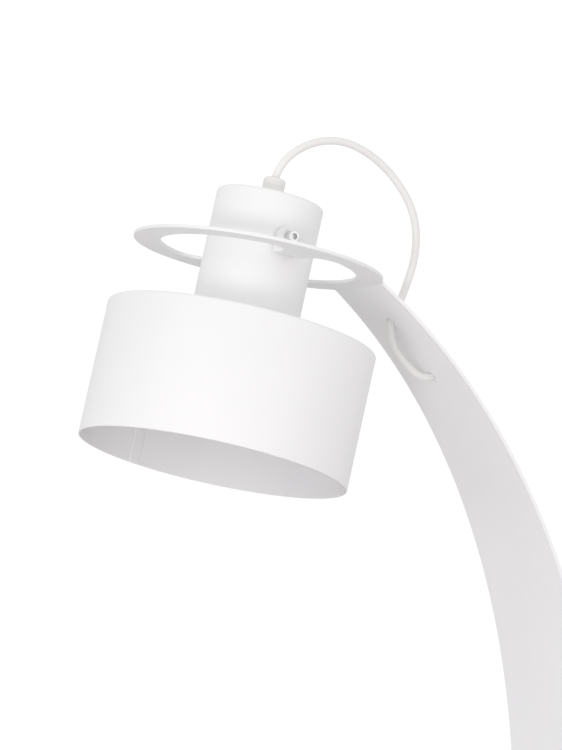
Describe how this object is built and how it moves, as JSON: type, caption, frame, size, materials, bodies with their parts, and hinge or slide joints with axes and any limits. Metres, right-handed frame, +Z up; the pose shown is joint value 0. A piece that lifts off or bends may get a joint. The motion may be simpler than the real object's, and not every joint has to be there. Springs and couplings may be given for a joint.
{
  "type": "arc floor lamp",
  "caption": "Arc floor lamp: a curved, tapering sheet-metal arm ends in a flat ring that holds a tilting drum-shaded head; corded, with an inline foot switch.",
  "frame": {"origin": "centre of the round base's underside, on the floor", "axes": "+Z up; the arm's curve lies in the XZ plane and bulges towards +X, and the head overhangs towards -X; +Y across the arm"},
  "size_m": [0.5205, 0.3427, 1.5531],
  "materials": {
    "white_coat": "matte white powder coat",
    "zinc": "bright zinc",
    "nickel": "nickel plate",
    "brass": "plain brass",
    "white_plastic": "satin moulded white",
    "cord_pvc": "soft matte PVC",
    "holder_plastic": "moulded thermoset",
    "nylon": "natural nylon",
    "black_glass": "glossy black",
    "diffuser": "opal diffuser",
    "felt": "needle felt"
  },
  "bodies": {
    "stand": {"arm": "white_coat", "base_plate": "white_coat", "base_nuts": "zinc", "base_washers": "zinc", "floor_pad": "felt", "cord_arch": "cord_pvc", "cord_lead": "cord_pvc", "cable_clips": "white_plastic", "cord_tail": "cord_pvc", "cord_coil": "cord_pvc", "coil_tie": "white_plastic", "cord_end": "cord_pvc", "plug_body": "white_plastic", "plug_pins": "nickel", "pin_sleeves": "white_plastic", "plug_relief": "white_plastic", "switch_base": "white_plastic", "switch_cover": "white_plastic", "switch_screws": "zinc", "switch_reliefs": "white_plastic", "contact_block": "holder_plastic", "contact_screws": "brass", "button_spring": "zinc"},
    "head": {"neck_housing": "white_coat", "shade": "white_coat", "shade_screws": "zinc", "pivot_bushes": "zinc", "friction_washers": "nylon", "pivot_washers": "zinc", "pivot_bolts": "zinc", "cord_grip": "white_plastic", "grip_screw": "nylon", "threaded_nipple": "zinc", "nipple_nut": "zinc", "lampholder_cap": "holder_plastic", "lampholder_body": "holder_plastic", "lampholder_shell": "brass", "lampholder_contact": "brass", "terminal_screws": "brass", "bulb_cap": "nickel", "bulb_insulator": "black_glass", "bulb_contact": "nickel", "bulb_housing": "white_plastic", "bulb_diffuser": "diffuser", "cord_inner": "cord_pvc"},
    "foot_button": {"foot_button": "white_plastic"}
  },
  "joints": [
    {"name": "head_tilt", "type": "hinge", "parent": "stand", "child": "head", "pos_m": [-0.0482, 0, 1.46406], "axis": [0, 1, 0], "range_deg": [-12, 30], "deforming": ["cord_arch"]},
    {"name": "button_press", "type": "slide", "parent": "stand", "child": "foot_button", "axis": [0, 0, -1], "range_m": [0, 0.0035], "stiffness_N_per_m": 900, "springref_m": -0.003, "deforming": ["button_spring"]}
  ]
}
